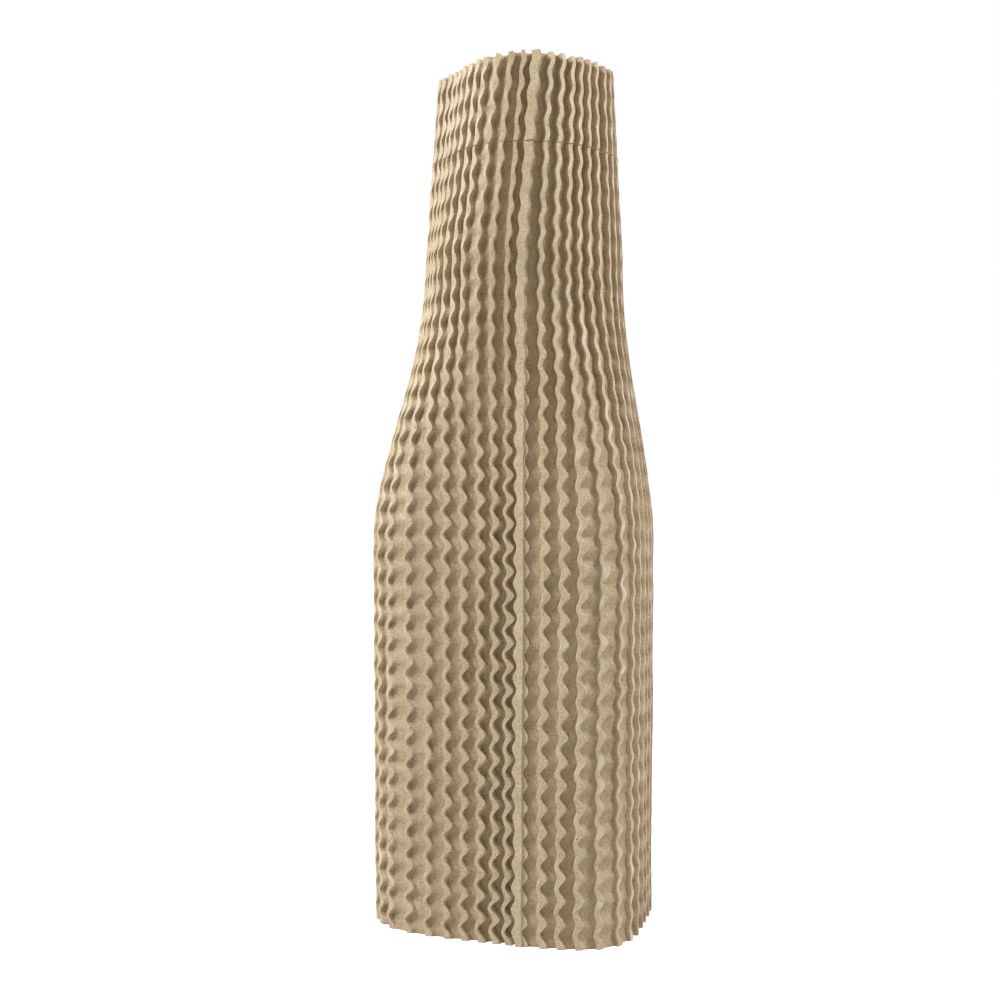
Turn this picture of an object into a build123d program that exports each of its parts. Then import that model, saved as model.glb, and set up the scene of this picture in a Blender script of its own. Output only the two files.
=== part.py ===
from build123d import *
from itertools import accumulate
from math import atan2, cos, exp, pi, radians, remainder, sin, sqrt, tan
from numpy import interp
import os

# Heights of the opened sleeve, which stands on its wide end.
sleeve_height = 300.0
shoulder_start = 131.0
shoulder_end = 233.0

# Widths and depths over the crests of the flutes: at the foot, where the shoulder starts,
# where it ends on the neck, and at the rim.
foot_width = 95.6
foot_depth = 70.2
body_width = 96.8
body_depth = 71.0
neck_width = 70.6
neck_depth = 69.0
rim_width = 55.0
rim_depth = 57.0

# The neck stands a little off the middle of the body, and leans.
neck_offset_x = 3.1
rim_offset_x = 6.1
neck_offset_y = 1.6
rim_offset_y = 1.8

# A higher roundness is nearer to a box: the body is a soft box, the neck a soft lens.
# The shoulder turns out of the body quickly and runs into the neck slowly.
body_roundness = 3.6
neck_roundness = 1.75
shoulder_lead = 2.28

# Two creases from flat storage stand out of the neck like ears, and fade towards the shoulder.
near_ear = 7.0
far_ear = 1.5
faded_share = 0.2
crease_angle = radians(188.3)
crease_spread = radians(16.0)

# One sheet of paper in upright flutes: a flat crest, and two leaning walls that meet in a sharp root.
# Each flute takes the same length of paper, so one that is pulled open is wider and shallower.
flute_count = 46
flute_paper = 7.05
paper_thickness = 0.4
closed_pitch = 4.0
closed_crest = 1.3
open_pitch = 6.4
open_crest = 1.7
least_depth = 0.7

# Widths of the flutes against the usual one, from the seam to each side, on the body and on the neck.
body_right_shares = (1.24, 1, 1.02, 1.18, 1.24, 1.08, 1.02, 1.26)
body_left_shares = (0.71, 0.73, 0.81, 0.97, 1.02, 1.1, 1.21, 1.29)
neck_right_shares = (1.47, 1.17, 1.08, 0.99, 0.96, 1.08, 1.24)
neck_left_shares = (1.12, 1.19, 1.24, 1.41, 1.07, 1.19, 1.19, 0.96, 0.76, 0.84)

# The sheet's end laps over its start on one wide crest at the front, which wanders a little.
lap_width = 2.8
foot_seam = radians(-72.4)
body_seam = radians(-71.2)
neck_seam = radians(-76.3)
rim_seam = radians(-72.5)

# A row of short slits in the crests lets the top be torn off: the width is a share of the crest's.
slit_drop = 31.0
slit_height = 0.5
slit_depth = 3.0
slit_share = 0.8

# Where sections are drawn over the shoulder, as shares of its length, and the steps of one section.
shoulder_shares = (0, 0.14, 0.34, 0.64, 1)
outline_steps = 720
full_turn = 2 * pi


def blend(start, end, share):
    """Size at a share of the way from one size to another."""
    return start + (end - start) * share


def body_share(height):
    """How far the section has the body's form: one below the shoulder, zero on the neck."""
    rise = (height - shoulder_start) / (shoulder_end - shoulder_start)
    rise = min(max(rise, 0), 1)
    return (1 - rise) ** shoulder_lead * (1 + shoulder_lead * rise)


def level(height, foot, body, neck, rim):
    """Size at a height, from the sizes at the foot, at both ends of the shoulder and at the rim."""
    on_body = min(height / shoulder_start, 1)
    on_neck = max((height - shoulder_end) / (sleeve_height - shoulder_end), 0)
    return blend(blend(neck, rim, on_neck), blend(foot, body, on_body), body_share(height))


def crest_point(height, angle):
    """Point on the closed curve that the crests follow, at a height and an angle about the axis."""
    width = level(height, foot_width, body_width, neck_width, rim_width)
    depth = level(height, foot_depth, body_depth, neck_depth, rim_depth)
    roundness = level(height, body_roundness, body_roundness, neck_roundness, neck_roundness)
    across = abs(2 * cos(angle) / width) ** roundness
    along = abs(2 * sin(angle) / depth) ** roundness
    reach = (across + along) ** (-1 / roundness)
    for ear, place in ((near_ear, crease_angle), (far_ear, crease_angle + pi)):
        turn = remainder(angle - place, full_turn)
        reach += level(height, 0, 0, faded_share * ear, ear) * exp(-((turn / crease_spread) ** 2))
    offset_x = level(height, 0, 0, neck_offset_x, rim_offset_x)
    offset_y = level(height, 0, 0, neck_offset_y, rim_offset_y)
    return Vector(offset_x + reach * cos(angle), offset_y + reach * sin(angle), height)


def once_round(right_shares, left_shares):
    """Widths of all flutes, from the seam to the right and once round: at the back they are alike."""
    alike = flute_count - len(right_shares) - len(left_shares)
    return (*right_shares, *[1] * alike, *reversed(left_shares))


class Section:
    """The folded paper at one height, walked anticlockwise from the seam."""

    def __init__(self, height):
        self.height = height
        seam = level(height, foot_seam, body_seam, neck_seam, rim_seam)
        self.angles = [seam + full_turn * step / outline_steps for step in range(outline_steps + 1)]
        points = [crest_point(height, angle) for angle in self.angles]
        steps = [(end - start).length for start, end in zip(points, points[1:])]
        self.walk = [0, *accumulate(steps)]
        on_body = once_round(body_right_shares, body_left_shares)
        on_neck = once_round(neck_right_shares, neck_left_shares)
        shares = [blend(neck, body, body_share(height)) for neck, body in zip(on_neck, on_body)]
        pitches = [self.walk[-1] * share / sum(shares) for share in shares]
        self.crests = [0, *accumulate(pitches)]
        self.opened = [interp(pitch, (closed_pitch, open_pitch), (0, 1)) for pitch in pitches]
        between = [(left + right) / 2 for left, right in zip(self.opened, self.opened[1:])]
        inner_widths = [blend(closed_crest, open_crest, opened) for opened in between]
        self.crest_widths = [lap_width, *inner_widths, lap_width]

    def frame(self, distance):
        """Place at a distance along the curve: X runs along it, Y points into the sleeve and Z up."""
        angle = interp(distance % self.walk[-1], self.walk, self.angles)
        step = full_turn / outline_steps
        ahead = crest_point(self.height, angle + step) - crest_point(self.height, angle - step)
        return Plane(crest_point(self.height, angle), x_dir=ahead, z_dir=(0, 0, 1))

    def corner(self, distance, depth):
        """Point at a distance along the curve, sunk by a depth."""
        return self.frame(distance).from_local_coords(Vector(0, depth))

    def corners(self):
        """Corners of the paper's outer and inner side: three for each flute, and one more for the lap."""
        outer = []
        inner = []
        for flute in range(flute_count):
            first = flute == 0
            last = flute == flute_count - 1
            start = self.crests[flute] + self.crest_widths[flute] / 2
            end = self.crests[flute + 1] - self.crest_widths[flute + 1] / 2
            root = (start + end) / 2
            run = root - start
            crest_paper = (self.crest_widths[flute] + self.crest_widths[flute + 1]) / 2
            wall = (flute_paper - crest_paper) / 2
            depth = sqrt(max(wall**2 - run**2, least_depth**2))
            lean = atan2(depth, run)
            miter = paper_thickness * tan(lean / 2)
            if first:
                outer.append(self.corner(start, -paper_thickness))
            outer.append(self.corner(start, 0))
            outer.append(self.corner(root, depth))
            outer.append(self.corner(end, -paper_thickness if last else 0))
            inner.append(self.corner(start - miter, paper_thickness))
            inner.append(self.corner(root, depth + paper_thickness / cos(lean)))
            inner.append(self.corner(end + miter, paper_thickness))
        return outer, inner


def fold_line(points, heights):
    """One fold from foot to rim: straight on the body, curved over the shoulder, straight on the neck."""
    foot, *shoulder, rim = points
    leave = (shoulder[0] - foot) / (heights[1] - heights[0])
    arrive = (rim - shoulder[-1]) / (heights[-1] - heights[-2])
    return (
        Edge.make_line(foot, shoulder[0]),
        Edge.make_spline(shoulder, tangents=(leave, arrive), parameters=heights[1:-1], scale=False),
        Edge.make_line(shoulder[-1], rim),
    )


def strips(rings, heights):
    """The paper between each two neighbouring folds."""
    folds = [fold_line(points, heights) for points in zip(*rings)]
    faces = []
    for fold, neighbour in zip(folds, folds[1:] + folds[:1]):
        faces += [Face.make_surface_from_curves(a, b) for a, b in zip(fold, neighbour)]
    return faces


def paper_edge(outer, inner):
    """The cut edge of the paper at the foot or the rim."""
    return Face(Wire.make_polygon(outer), [Wire.make_polygon(inner)])


def slits():
    """Thin blocks that cut the tear line through every crest."""
    section = Section(sleeve_height - slit_drop)
    cuts = []
    for crest, crest_width in zip(section.crests[:-1], section.crest_widths):
        cuts.append(section.frame(crest) * Box(slit_share * crest_width, 2 * slit_depth, slit_height))
    return cuts


def sleeve():
    """The whole sheet, folded, rolled and lapped into one open tube."""
    over_shoulder = [blend(shoulder_start, shoulder_end, share) for share in shoulder_shares]
    heights = [0, *over_shoulder, sleeve_height]
    rings = [Section(height).corners() for height in heights]
    outer, inner = zip(*rings)
    faces = strips(outer, heights) + strips(inner, heights)
    faces += [paper_edge(outer[0], inner[0]), paper_edge(outer[-1], inner[-1])]
    return Solid(Shell(faces)) - slits()


os.makedirs("parts", exist_ok=True)
export_step(sleeve(), "parts/sleeve.step")
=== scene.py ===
import bmesh
import bpy
import numpy as np
from math import cos, exp, log, pi, radians, sin
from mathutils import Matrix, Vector, noise


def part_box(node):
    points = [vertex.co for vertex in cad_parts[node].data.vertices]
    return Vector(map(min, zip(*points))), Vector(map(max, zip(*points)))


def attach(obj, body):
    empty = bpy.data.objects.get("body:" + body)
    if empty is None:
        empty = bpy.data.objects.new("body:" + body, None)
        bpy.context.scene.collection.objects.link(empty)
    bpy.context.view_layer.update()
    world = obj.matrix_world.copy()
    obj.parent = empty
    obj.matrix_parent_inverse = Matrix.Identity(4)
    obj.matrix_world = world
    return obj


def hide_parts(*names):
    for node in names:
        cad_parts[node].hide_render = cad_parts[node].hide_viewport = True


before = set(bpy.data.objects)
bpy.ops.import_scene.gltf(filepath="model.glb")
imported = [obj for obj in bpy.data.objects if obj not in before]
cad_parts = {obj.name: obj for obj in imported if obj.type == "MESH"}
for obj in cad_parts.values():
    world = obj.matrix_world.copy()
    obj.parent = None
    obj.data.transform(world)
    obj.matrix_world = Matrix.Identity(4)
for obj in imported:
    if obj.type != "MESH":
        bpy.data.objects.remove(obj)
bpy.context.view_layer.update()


# The form that the sleeve is opened into: a soft box for the bottle's body, a shoulder, and a round neck.
# Nothing but the paper holds it, so the neck leans a little to one side and still shows, most at the rim,
# the two creases from being stored flat.
mm = 0.001
sleeve_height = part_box("sleeve")[1].z
shoulder_start = 131 * mm
shoulder_end = 233 * mm
shoulder_lead = 2.28
foot_size = Vector((95.6, 70.2)) * mm
body_size = Vector((96.8, 71.0)) * mm
neck_size = Vector((70.6, 69.0)) * mm
rim_size = Vector((55.0, 57.0)) * mm
body_offset = Vector((0, 0))
neck_offset = Vector((3.1, 1.6)) * mm
rim_offset = Vector((6.1, 1.8)) * mm
body_roundness = 3.6
neck_roundness = 1.75
creases = ((7.0 * mm, radians(188.3)), (1.5 * mm, radians(8.3)))
crease_spread = radians(16)
crease_at_shoulder = 0.2


def body_share(height):
    """One below the shoulder, where the section has the body's form, and zero on the neck."""
    rise = (height - shoulder_start) / (shoulder_end - shoulder_start)
    rise = min(max(rise, 0), 1)
    return (1 - rise) ** shoulder_lead * (1 + shoulder_lead * rise)


def blended(height, body, neck):
    """Value at one height, from the body's and the neck's."""
    share = body_share(height)
    return share * body + (1 - share) * neck


def level(height, foot, body, neck, rim):
    """Value at one height, from those at the foot, at both ends of the shoulder and at the rim."""
    on_body = min(height / shoulder_start, 1)
    on_neck = max((height - shoulder_end) / (sleeve_height - shoulder_end), 0)
    lower = (1 - on_body) * foot + on_body * body
    upper = (1 - on_neck) * neck + on_neck * rim
    return blended(height, lower, upper)


def crest_curve(height, angles):
    """The closed curve that the crests of the flutes follow at one height."""
    size = level(height, foot_size, body_size, neck_size, rim_size)
    offset = level(height, body_offset, body_offset, neck_offset, rim_offset)
    roundness = blended(height, body_roundness, neck_roundness)
    across = abs(2 * np.cos(angles) / size.x) ** roundness
    along = abs(2 * np.sin(angles) / size.y) ** roundness
    reach = (across + along) ** (-1 / roundness)
    for ear, place in creases:
        turn = np.remainder(angles - place + pi, 2 * pi) - pi
        stand = level(height, 0, 0, crease_at_shoulder * ear, ear)
        reach = reach + stand * np.exp(-((turn / crease_spread) ** 2))
    return np.stack((offset.x + reach * np.cos(angles), offset.y + reach * np.sin(angles)), axis=-1)


# The flutes: the sheet is pleated upright, and every pleat waves from side to side in step with its
# neighbours. The pleats stand close and deep on the neck. Most on the body are pulled open, so they are
# wide and shallow there, but a few to the left of the seam stay narrow.
flute_count = 46
body_right_of_seam = (1.24, 1, 1.02, 1.18, 1.24, 1.08, 1.02, 1.26)
body_left_of_seam = (0.71, 0.73, 0.81, 0.97, 1.02, 1.1, 1.21, 1.29)
neck_right_of_seam = (1.47, 1.17, 1.08, 0.99, 0.96, 1.08, 1.24)
neck_left_of_seam = (1.12, 1.19, 1.24, 1.41, 1.07, 1.19, 1.19, 0.96, 0.76, 0.84)
# Chance in the folds: a seed, how often it changes in a metre of height, and its spread.
chance_in_widths = (4, 12, 0.06)
chance_in_depths = (11, 30, 0.2)
chance_in_sways = (23, 40, 0.5)
chance_in_waves = (37, 8, 0.12)
next_fold = 1.37


def once_round(right, left):
    """Widths of all flutes, from the seam to the right and once round, as shares of the whole."""
    alike = flute_count - len(right) - len(left)
    widths = np.array((*right, *[1] * alike, *reversed(left)))
    return widths / widths.sum()


body_widths = once_round(body_right_of_seam, body_left_of_seam)
neck_widths = once_round(neck_right_of_seam, neck_left_of_seam)


def unevenness(count, chance, height):
    """One small value for each of a row of folds, which changes slowly with the height."""
    seed, changes, spread = chance
    spots = [Vector((next_fold * fold, seed, changes * height)) for fold in range(count)]
    return np.array([spread * noise.noise(spot) for spot in spots])


def flute_widths(height, around):
    """The width of each flute at one height, for a given way round."""
    widths = blended(height, body_widths, neck_widths)
    widths = widths * (1 + unevenness(flute_count, chance_in_widths, height))
    return widths / widths.sum() * around


# Depths and pockets of flutes with these widths. A pocket is a deeper spot, where the crest draws back.
# All depths are held to a share of these, because the paper has settled.
pitches = np.array((4.0, 6.4, 8.2)) * mm
body_depths = np.array((2.7, 1.7, 1.4)) * mm
neck_depth = 2.4 * mm
settled_share = 0.95
pocket_shares = (0.13, 0.12, 0.28)
far_pocket_share = 0.5
# Sizes across one flute: how far the crest reaches to its left and right, and how far the wall on its right
# and the wall on the next crest's left run out. Each of the four folds has its own sway.
body_reach = np.array((0.75, 0.85, 0.7, 0.45)) * mm
neck_reach_right = np.array((0.6, 0.9, 0.6, 0.45)) * mm
neck_reach_left = np.array((0.6, 0.75, 0.6, 0.3)) * mm
body_sway_right = np.array((0.55, 1.2, 1.35, 0.55)) * mm
body_sway_left = np.array((0.7, 1.3, 1.4, 0.65)) * mm
neck_sway_right = np.array((0.5, 0.55, 0.8, 0.5)) * mm
neck_sway_left = np.array((0.2, 0.55, 0.75, 0.2)) * mm
narrowest_root = 0.3 * mm
# The right edge of a crest droops where it reaches out.
body_droop = 0.15 * mm
neck_droop = 0.3 * mm
droop_on_right = 0.7
# Counted from the seam to the right: the sizes of the right side end here, and those of the left start.
last_right_flute = 18
first_left_flute = 28
from_right = np.arange(flute_count + 1) - last_right_flute
left_share = np.clip(from_right / (first_left_flute - last_right_flute), 0, 1)
leftness = left_share[:, None]
neck_reach = neck_reach_right + leftness * (neck_reach_left - neck_reach_right)
body_sway = body_sway_right + leftness * (body_sway_left - body_sway_right)
neck_sway = neck_sway_right + leftness * (neck_sway_left - neck_sway_right)
droop_shares = droop_on_right + (1 - droop_on_right) * left_share

wave_at_foot = 7.56 * mm
wave_at_rim = 8.5 * mm
wave_peak_height = 116.8 * mm
wave_growth = (wave_at_rim - wave_at_foot) / sleeve_height
wave_at_peak = wave_at_foot + wave_growth * wave_peak_height


def waves_below(height):
    """How many waves a flute makes between the height of one known peak and this height."""
    length = wave_at_foot + wave_growth * height
    return log(length / wave_at_peak) / wave_growth


def wave_height(waves):
    """The height at which a flute has made this many waves."""
    length = wave_at_peak * exp(waves * wave_growth)
    return (length - wave_at_foot) / wave_growth


# The sheet: one length of recycled kraft paper. Its start lies under its end on the crest at the front,
# where the two are glued. On the body the cut end stays straight while the pleat under it waves, and at
# the rim it stands off a little.
foot_seam = radians(-72.4)
body_seam = radians(-71.2)
neck_seam = radians(-76.3)
rim_seam = radians(-72.5)
lap_over = np.array((-1.5, 1.25)) * mm
lap_over_rise = np.array((0.35, 0.42)) * mm
lap_sway_body = np.array((0.6, 0.08)) * mm
lap_sway_neck = np.array((0.35, 0.4)) * mm
lap_under_body = np.array((-1.0, 2.3)) * mm
lap_under_neck = np.array((-1.0, 1.9)) * mm
lap_under_sway = np.array((0, 0.85))
lap_under_sink = np.array((0.1, 0)) * mm
dent_depth = 0.5 * mm
dents_per_metre = 190
dent_seed = (2, 5)
least_lift = 0.1 * mm
loose_lift = 0.25 * mm
lifts_per_metre = 25
lift_seed = (7, 3)
rim_lift = 0.8 * mm
rim_lift_start = 272 * mm
flat_count = 2 * flute_count + 1
outline_steps = 720
short_turn = 0.01


def lap_lift(height):
    """How far the cut end stands off the paper under it."""
    at_rim = max(height - rim_lift_start, 0) / (sleeve_height - rim_lift_start)
    loose = loose_lift * abs(noise.noise(Vector((*lift_seed, lifts_per_metre * height))))
    return least_lift + loose + rim_lift * at_rim**2


def fold_places(height, crests, waves):
    """Where each crest and root begins and ends, along the curve from the seam."""
    reach = blended(height, body_reach, neck_reach)
    sway = blended(height, body_sway, neck_sway)
    places = np.empty((flat_count, 2))
    places[0::2, 0] = crests - reach[:, 0]
    places[0::2, 1] = crests + reach[:, 1]
    places[1::2, 0] = places[0:-1:2, 1] + reach[:-1, 2]
    places[1::2, 1] = places[2::2, 0] - reach[1:, 3]
    tight = np.maximum(places[1::2, 0] - places[1::2, 1] + narrowest_root, 0) / 2
    places[1::2, 0] -= tight
    places[1::2, 1] += tight
    places[0] = blended(height, lap_under_body, lap_under_neck)
    places[-1] = crests[-1] + lap_over

    sways = np.empty((flat_count, 2))
    sways[0::2] = sway[:, :2]
    sways[1::2] = sway[:-1, 2:]
    sways[0] *= lap_under_sway
    sways[-1] = blended(height, lap_sway_body, lap_sway_neck)
    sways *= (1 + unevenness(flat_count, chance_in_sways, height))[:, None]
    places += np.cos(2 * pi * waves)[:, None] * sways
    places[1::2] = np.maximum(places[1::2], places[0:-1:2, 1:])
    return places


def fold_depths(height, widths, waves):
    """How deep each crest and root lies below the curve, where it begins and where it ends."""
    depths = blended(height, np.interp(widths, pitches, body_depths), neck_depth)
    depths = depths * (settled_share + unevenness(flute_count, chance_in_depths, height))
    pockets = -np.cos(2 * pi * waves[1::2]) * np.interp(widths, pitches, pocket_shares)
    droop = blended(height, body_droop, neck_droop) * droop_shares
    dent = dent_depth * noise.noise(Vector((*dent_seed, dents_per_metre * height)))
    sunk = np.zeros((flat_count, 2))
    sunk[0::2, 1] = droop * (1 + np.cos(2 * pi * waves[0::2]))
    sunk[1::2, 0] = depths * (1 + pockets)
    sunk[1::2, 1] = depths * (1 + far_pocket_share * pockets)
    sunk[0] = lap_under_sink
    sunk[-1] = (dent, -lap_lift(height)) - lap_over_rise
    return sunk


def sheet_row(height):
    """One level row of the sheet, as plan positions and depths: two on each crest and two on each root."""
    seam = level(height, foot_seam, body_seam, neck_seam, rim_seam)
    turns = seam + np.linspace(0, 2 * pi, outline_steps + 1)
    steps = np.linalg.norm(np.diff(crest_curve(height, turns), axis=0), axis=1)
    walk = np.concatenate(([0], np.cumsum(steps)))
    widths = flute_widths(height, walk[-1])
    crests = np.concatenate(([0], np.cumsum(widths)))
    waves = waves_below(height) + unevenness(flat_count, chance_in_waves, height)
    places = fold_places(height, crests, waves).ravel()
    sunk = fold_depths(height, widths, waves).ravel()
    angles = np.interp(places % walk[-1], walk, turns)
    ahead = crest_curve(height, angles + short_turn) - crest_curve(height, angles - short_turn)
    ahead /= np.linalg.norm(ahead, axis=1)[:, None]
    inward = np.stack((-ahead[:, 1], ahead[:, 0]), axis=-1)
    plan = crest_curve(height, angles) + sunk[:, None] * inward
    return np.column_stack((plan, sunk))


# Level rows of the sheet, with two more for the lips of the slits on the tear line.
rows_per_wave = 7
edge_margin = 0.6 * mm
tear_height = sleeve_height - 31 * mm
slit_height = 0.32 * mm
first_row = int(np.ceil(rows_per_wave * waves_below(edge_margin)))
last_row = int(np.floor(rows_per_wave * waves_below(sleeve_height - edge_margin)))
row_heights = [wave_height((row + 0.5) / rows_per_wave) for row in range(first_row, last_row)]
row_heights = [0, *row_heights, sleeve_height]
rows = [sheet_row(height) for height in row_heights]
tear_row = sum(height < tear_height for height in row_heights)
below, above = row_heights[tear_row - 1], row_heights[tear_row]
row_below, row_above = rows[tear_row - 1], rows[tear_row]
for lip in (slit_height / 2, -slit_height / 2):
    share = (tear_height + lip - below) / (above - below)
    rows.insert(tear_row, (1 - share) * row_below + share * row_above)
    row_heights.insert(tear_row, tear_height + lip)
row_count = len(row_heights)
columns_per_flute = 4
column_count = 2 * flat_count

# The paper strays a little from its form, in a wide wander and in small crumples: how far, in millimetres,
# and how often in a metre. Its cut edges stay level, but the rim is worn.
wander = (0.35, 45)
crumple = (0.12, 300)
level_edge = 6 * mm
rim_wear = 1.6 * mm
rim_nicks_per_metre = 160
deepest_root = 2.7 * mm
noise.seed_set(3)
sheet = bmesh.new()
bmesh.ops.create_grid(sheet, x_segments=column_count - 1, y_segments=row_count - 1, size=1)
fold = sheet.verts.layers.float.new("fold")
grid = {}
for vert in sheet.verts:
    column = round((vert.co.x + 1) / 2 * (column_count - 1))
    row = round((vert.co.y + 1) / 2 * (row_count - 1))
    grid[row, column] = vert
    height = row_heights[row]
    across, along, depth = rows[row][column]
    place = Vector((across, along, height))
    loose = min(height / level_edge, (sleeve_height - height) / level_edge, 1)
    vert.co = place
    for reach, changes in (wander, crumple):
        stray = noise.noise_vector(place * changes) * reach * mm
        stray.z *= loose
        vert.co += stray
    vert[fold] = 1 - min(max(depth / deepest_root, 0), 1)
for column in range(column_count):
    rim = grid[row_count - 1, column]
    rim.co.z -= rim_wear * abs(noise.noise(rim_nicks_per_metre * rim.co))
    grid[0, column].co.z = 0

# The tear line: a short slit is cut through each crest a little below the rim, so that the top can be
# pulled off by hand. The cut sheet then faces outwards, with crisp edges along its crests.
slits = []
for crest in range(flute_count + 1):
    corner = grid[tear_row, columns_per_flute * crest]
    opposite = grid[tear_row + 1, columns_per_flute * crest + 1]
    slits += [face for face in corner.link_faces if face in opposite.link_faces]
bmesh.ops.delete(sheet, geom=slits, context="FACES_ONLY")

bmesh.ops.recalc_face_normals(sheet, faces=sheet.faces)
on_front = grid[row_count // 4, 4 * columns_per_flute]
if on_front.normal.dot(Vector((on_front.co.x, on_front.co.y, 0))) < 0:
    bmesh.ops.reverse_faces(sheet, faces=sheet.faces)
for face in sheet.faces:
    face.smooth = True
sheet.edges.index_update()
crisp = [edge.index for edge in sheet.edges if edge.is_boundary]
crest_columns = [column for column in range(column_count) if column % columns_per_flute < 2]
for column in crest_columns:
    for row in range(row_count - 1):
        ends = grid[row, column], grid[row + 1, column]
        crisp.append(sheet.edges.get(ends).index)
paper_mesh = bpy.data.meshes.new("paper_sleeve")
sheet.to_mesh(paper_mesh)
sheet.free()
paper_mesh.set_sharp_from_angle(angle=radians(55))
for index in crisp:
    paper_mesh.edges[index].use_edge_sharp = True
paper = bpy.data.objects.new("paper_sleeve", paper_mesh)
bpy.context.collection.objects.link(paper)
thickness = paper.modifiers.new("paper thickness", "SOLIDIFY")
thickness.thickness = 0.38 * mm
thickness.offset = -1

# Recycled kraft: unbleached and uncoated, pressed from short mixed fibres, so it is mottled, finely
# grained and flecked with dark bits. The roots are darkened with their depth as painted shade, and the
# crests are a little paler with their height. Spots on the crests near the corners of the body are
# painted nearly white as a painted sheen.
dark_cloud = (0.44, 0.33, 0.19, 1)
pale_cloud = (0.51, 0.39, 0.235, 1)
pale_grain = (0.68, 0.555, 0.39, 1)
dark_grain = (0.26, 0.18, 0.095, 1)
pale_fibre = (0.72, 0.6, 0.43, 1)
dark_fibre = (0.24, 0.165, 0.09, 1)
painted_root_shade = (0.5, 0.4, 0.27, 1)
paler_crest = (0.62, 0.5, 0.345, 1)
painted_sheen_crest = (0.78, 0.69, 0.54, 1)
dark_bit = (0.09, 0.06, 0.035, 1)
kraft = bpy.data.materials.new("kraft_paper")
kraft.use_nodes = True
nodes = kraft.node_tree.nodes
links = kraft.node_tree.links
shader = nodes["Principled BSDF"]
shader.inputs["Roughness"].default_value = 0.52
shader.inputs["Specular IOR Level"].default_value = 0.45
where = nodes.new("ShaderNodeTexCoord")


def paper_noise(scale, detail, stretch=(1, 1, 1)):
    """A noise in the paper, drawn out by the inverse of the stretch."""
    place = nodes.new("ShaderNodeMapping")
    place.inputs["Scale"].default_value = stretch
    links.new(where.outputs["Object"], place.inputs["Vector"])
    spots = nodes.new("ShaderNodeTexNoise")
    spots.inputs["Scale"].default_value = scale
    spots.inputs["Detail"].default_value = detail
    links.new(place.outputs["Vector"], spots.inputs["Vector"])
    return spots.outputs["Fac"]


def mixed(kind, factor, first, second):
    """Two colours mixed by a factor, each of them a plain value or another node's."""
    mix = nodes.new("ShaderNodeMix")
    mix.data_type = "RGBA"
    mix.blend_type = kind
    for socket, value in ((mix.inputs[0], factor), (mix.inputs[6], first), (mix.inputs[7], second)):
        if isinstance(value, bpy.types.NodeSocket):
            links.new(value, socket)
        else:
            socket.default_value = value
    return mix.outputs[2]


def ranged(value, start, end, most, least=0):
    """A strength that grows from the least to the most, as the value goes from start to end."""
    span = nodes.new("ShaderNodeMapRange")
    links.new(value, span.inputs["Value"])
    span.inputs["From Min"].default_value = start
    span.inputs["From Max"].default_value = end
    span.inputs["To Min"].default_value = least
    span.inputs["To Max"].default_value = most
    return span.outputs["Result"]


def times(first, second):
    """Two nodes' values multiplied."""
    product = nodes.new("ShaderNodeMath")
    product.operation = "MULTIPLY"
    links.new(first, product.inputs[0])
    links.new(second, product.inputs[1])
    return product.outputs["Value"]


cloud = paper_noise(scale=110, detail=3)
grain = paper_noise(scale=1500, detail=5)
upright_fibres = paper_noise(scale=1400, detail=2, stretch=(1, 1, 0.12))
level_fibres = paper_noise(scale=1400, detail=2, stretch=(0.2, 0.2, 1))
tone = mixed("MIX", ranged(cloud, start=0.35, end=0.65, most=1), dark_cloud, pale_cloud)
tone = mixed("MIX", ranged(grain, start=0.4, end=0.72, most=0.75), tone, pale_grain)
tone = mixed("MIX", ranged(grain, start=0.5, end=0.3, most=0.45), tone, dark_grain)
tone = mixed("MIX", ranged(upright_fibres, start=0.6, end=0.75, most=0.3), tone, pale_fibre)
tone = mixed("MIX", ranged(level_fibres, start=0.42, end=0.27, most=0.35), tone, dark_fibre)

folds = nodes.new("ShaderNodeAttribute")
folds.attribute_name = "fold"
crestness = folds.outputs["Fac"]
# Painted shade: the roots of the flutes are darkened according to how deep they lie.
tone = mixed("MULTIPLY", ranged(crestness, start=0.8, end=0.3, most=0.55), tone, painted_root_shade)
# The crests are made a little paler in step with their height above the roots.
tone = mixed("MIX", ranged(crestness, start=0, end=1, most=0.15), tone, paler_crest)

sides = nodes.new("ShaderNodeSeparateXYZ")
links.new(where.outputs["Object"], sides.inputs["Vector"])
off_middle = nodes.new("ShaderNodeMath")
off_middle.operation = "ABSOLUTE"
links.new(sides.outputs["X"], off_middle.inputs[0])
# Painted sheen: spots on the crests near the corners of the body are mixed towards near white, standing in
# for glints of light.
painted_sheen_spots = ranged(paper_noise(scale=160, detail=4, stretch=(1, 1, 0.7)), start=0.52, end=0.64, most=0.6)
painted_sheen_spots = times(painted_sheen_spots, ranged(crestness, start=0.6, end=0.95, most=1))
corners = ranged(off_middle.outputs["Value"], start=18 * mm, end=42 * mm, least=0.15, most=1)
tone = mixed("MIX", times(painted_sheen_spots, corners), tone, painted_sheen_crest)

bits = nodes.new("ShaderNodeTexVoronoi")
bits.inputs["Scale"].default_value = 190
links.new(where.outputs["Object"], bits.inputs["Vector"])
few = nodes.new("ShaderNodeSeparateColor")
links.new(bits.outputs["Color"], few.inputs["Color"])
specks = ranged(bits.outputs["Distance"], start=0.09, end=0.05, most=0.8)
specks = times(specks, ranged(few.outputs["Red"], start=0.8, end=0.82, most=1))
tone = mixed("MIX", specks, tone, dark_bit)
links.new(tone, shader.inputs["Base Color"])

tooth = nodes.new("ShaderNodeBump")
tooth.inputs["Strength"].default_value = 0.5
tooth.inputs["Distance"].default_value = 0.2 * mm
links.new(grain, tooth.inputs["Height"])
links.new(tooth.outputs["Normal"], shader.inputs["Normal"])
paper.data.materials.append(kraft)
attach(paper, "root")
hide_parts("sleeve")


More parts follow.
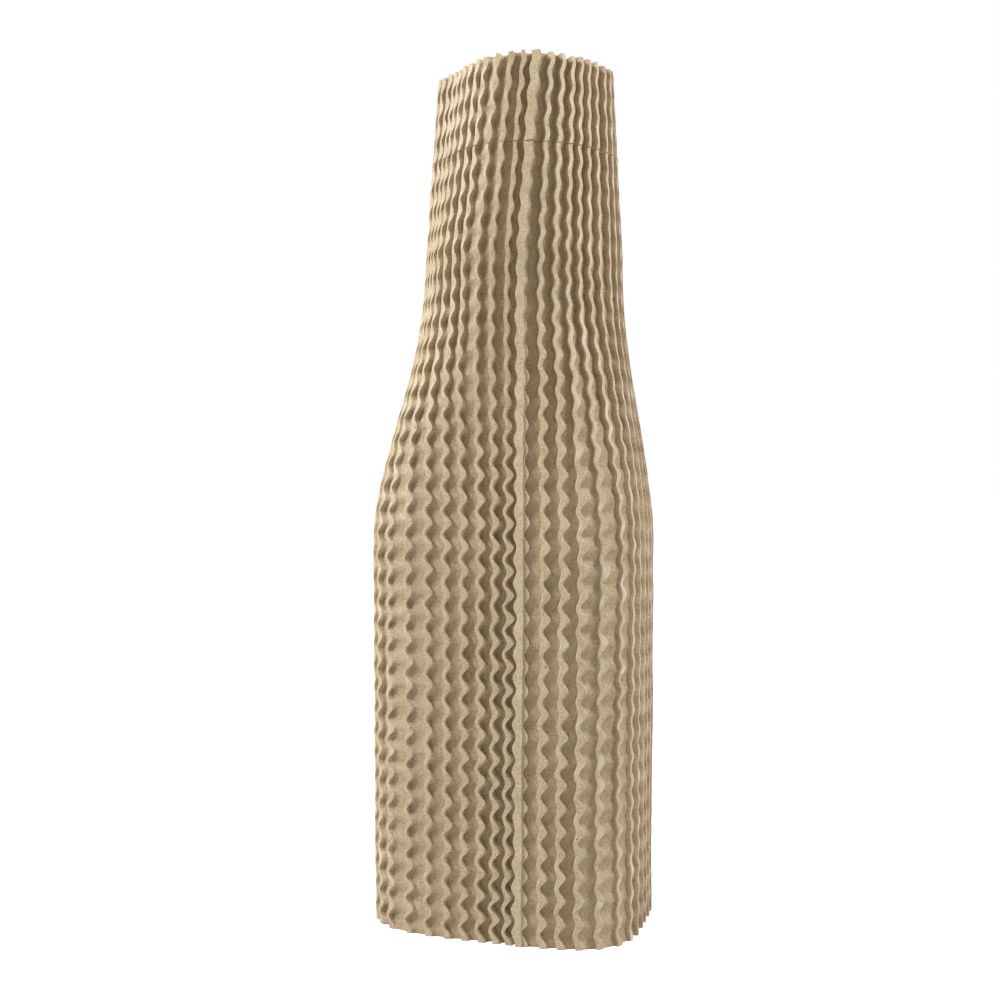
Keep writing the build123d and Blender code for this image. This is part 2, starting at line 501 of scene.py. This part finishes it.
# The studio: a round white floor that takes the object's shadow, under an even white sky. A key lamp from
# high on the left draws the shadows in the pleats, and a smaller lamp on the right opens the far side.
# The camera stands where the photograph was taken from.
floor_radius = 6
floor_grey = (0.5, 0.5, 0.5, 1)
floor_glow = 0.85
sky_light = 0.36
sky_seen = 1.0
lit_point = Vector((0, 0, 150 * mm))
camera_turn = radians(16.27)
camera_swing = radians(0.6867)
camera_dip = radians(0.63)
camera_distance = 450.8 * mm
camera_height = 153 * mm
bpy.context.scene.view_settings.view_transform = "Standard"


def looked_at(tree):
    """One for rays that show a thing, also in a mirror or through glass, and zero for rays that light it."""
    ray = tree.nodes.new("ShaderNodeLightPath")
    seen = ray.outputs["Is Camera Ray"]
    for kind in ("Is Glossy Ray", "Is Transmission Ray"):
        either = tree.nodes.new("ShaderNodeMath")
        either.operation = "MAXIMUM"
        tree.links.new(seen, either.inputs[0])
        tree.links.new(ray.outputs[kind], either.inputs[1])
        seen = either.outputs["Value"]
    return seen


ground = bmesh.new()
bmesh.ops.create_circle(ground, cap_ends=True, segments=64, radius=floor_radius)
ground_mesh = bpy.data.meshes.new("studio_floor")
ground.to_mesh(ground_mesh)
ground.free()
floor = bpy.data.objects.new("studio_floor", ground_mesh)
bpy.context.collection.objects.link(floor)
white = bpy.data.materials.new("studio_white")
white.use_nodes = True
floor_tree = white.node_tree
floor_tree.nodes.clear()
surface = floor_tree.nodes.new("ShaderNodeOutputMaterial")
dull = floor_tree.nodes.new("ShaderNodeBsdfDiffuse")
dull.inputs["Color"].default_value = floor_grey
glow = floor_tree.nodes.new("ShaderNodeEmission")
both = floor_tree.nodes.new("ShaderNodeAddShader")
glow_level = floor_tree.nodes.new("ShaderNodeMath")
glow_level.operation = "MULTIPLY"
glow_level.inputs[1].default_value = floor_glow
floor_tree.links.new(looked_at(floor_tree), glow_level.inputs[0])
floor_tree.links.new(glow_level.outputs["Value"], glow.inputs["Strength"])
floor_tree.links.new(dull.outputs["BSDF"], both.inputs[0])
floor_tree.links.new(glow.outputs["Emission"], both.inputs[1])
floor_tree.links.new(both.outputs["Shader"], surface.inputs["Surface"])
floor.data.materials.append(white)

sky = bpy.data.worlds.new("studio")
bpy.context.scene.world = sky
sky.use_nodes = True
sky_tree = sky.node_tree
background = sky_tree.nodes["Background"]
background.inputs["Color"].default_value = (1, 1, 1, 1)
sky_level = sky_tree.nodes.new("ShaderNodeMix")
sky_level.inputs["A"].default_value = sky_light
sky_level.inputs["B"].default_value = sky_seen
sky_tree.links.new(looked_at(sky_tree), sky_level.inputs["Factor"])
sky_tree.links.new(sky_level.outputs["Result"], background.inputs["Strength"])


def lamp(name, size, watts, place):
    """A square lamp that is turned to the middle of the sleeve."""
    light = bpy.data.lights.new(name, "AREA")
    light.size = size
    light.energy = watts
    stand = bpy.data.objects.new(name, light)
    stand.location = place
    stand.rotation_mode = "QUATERNION"
    stand.rotation_quaternion = (lit_point - stand.location).to_track_quat("-Z", "Y")
    bpy.context.collection.objects.link(stand)


lamp("key", size=0.35, watts=15.6, place=(-0.82, -0.5, 0.88))
lamp("fill", size=0.2, watts=9.2, place=(0.85, -0.1, 0.86))

camera_data = bpy.data.cameras.new("camera")
camera_data.sensor_width = 36
camera_data.lens = 45.05
camera = bpy.data.objects.new("camera", camera_data)
camera.location = (camera_distance * sin(camera_turn), -camera_distance * cos(camera_turn), camera_height)
camera.rotation_euler = (radians(90) - camera_dip, 0, camera_turn + camera_swing)
bpy.context.collection.objects.link(camera)
bpy.context.scene.camera = camera
